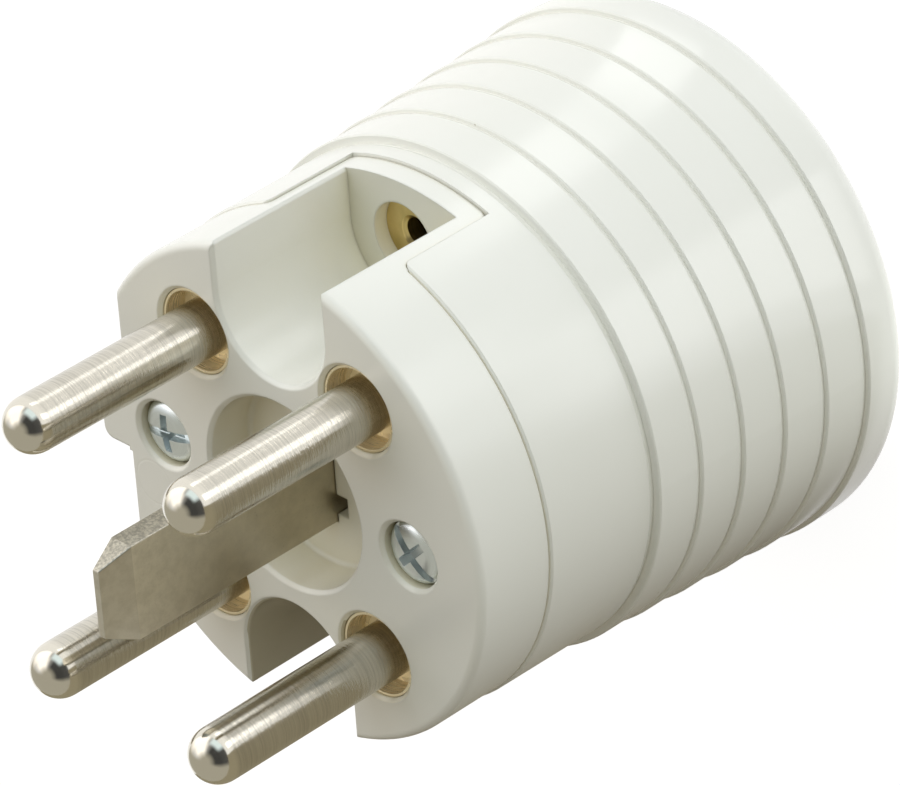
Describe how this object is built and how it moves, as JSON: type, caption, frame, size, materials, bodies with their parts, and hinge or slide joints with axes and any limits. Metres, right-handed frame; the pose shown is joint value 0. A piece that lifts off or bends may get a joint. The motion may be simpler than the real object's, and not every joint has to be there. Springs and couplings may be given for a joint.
{
  "type": "three-phase power plug",
  "caption": "Round moulded three-phase cord plug: keyed pin insert with guide notches, round pins and a flat earth blade, closed by a hood with stepped grip bands.",
  "frame": {"origin": "centre of the rear end, on the plane that the plug stands on", "axes": "+Z along the axis towards the pin tips, +Y towards the notch with the bush, -X towards the key flat"},
  "size_m": [0.0606, 0.0606, 0.084],
  "materials": {
    "white_moulding": "satin-gloss moulded thermoset, off-white",
    "nickel": "bright nickel plating over turned brass",
    "blade_plating": "dull nickel plating over stamped sheet",
    "brass": "bare turned brass",
    "zinc": "bright blue-passivated zinc",
    "rubber": "matt moulded rubber"
  },
  "bodies": {
    "root": {"front_insert": "white_moulding", "hood": "white_moulding", "pin_l1": "nickel", "pin_l2": "nickel", "pin_l3": "nickel", "pin_n": "nickel", "pin_washers": "brass", "terminal_l1": "brass", "terminal_l2": "brass", "terminal_l3": "brass", "terminal_n": "brass", "terminal_screws": "zinc", "earth_blade": "blade_plating", "earth_plate": "brass", "earth_screw": "zinc", "earth_washer": "zinc", "plate_screws": "zinc", "hood_screws": "zinc", "hood_nuts": "brass", "notch_bush": "brass", "clamp_frame": "zinc", "clamp_bar": "zinc", "clamp_screws": "zinc", "inlet_grommet": "rubber"}
  },
  "joints": []
}
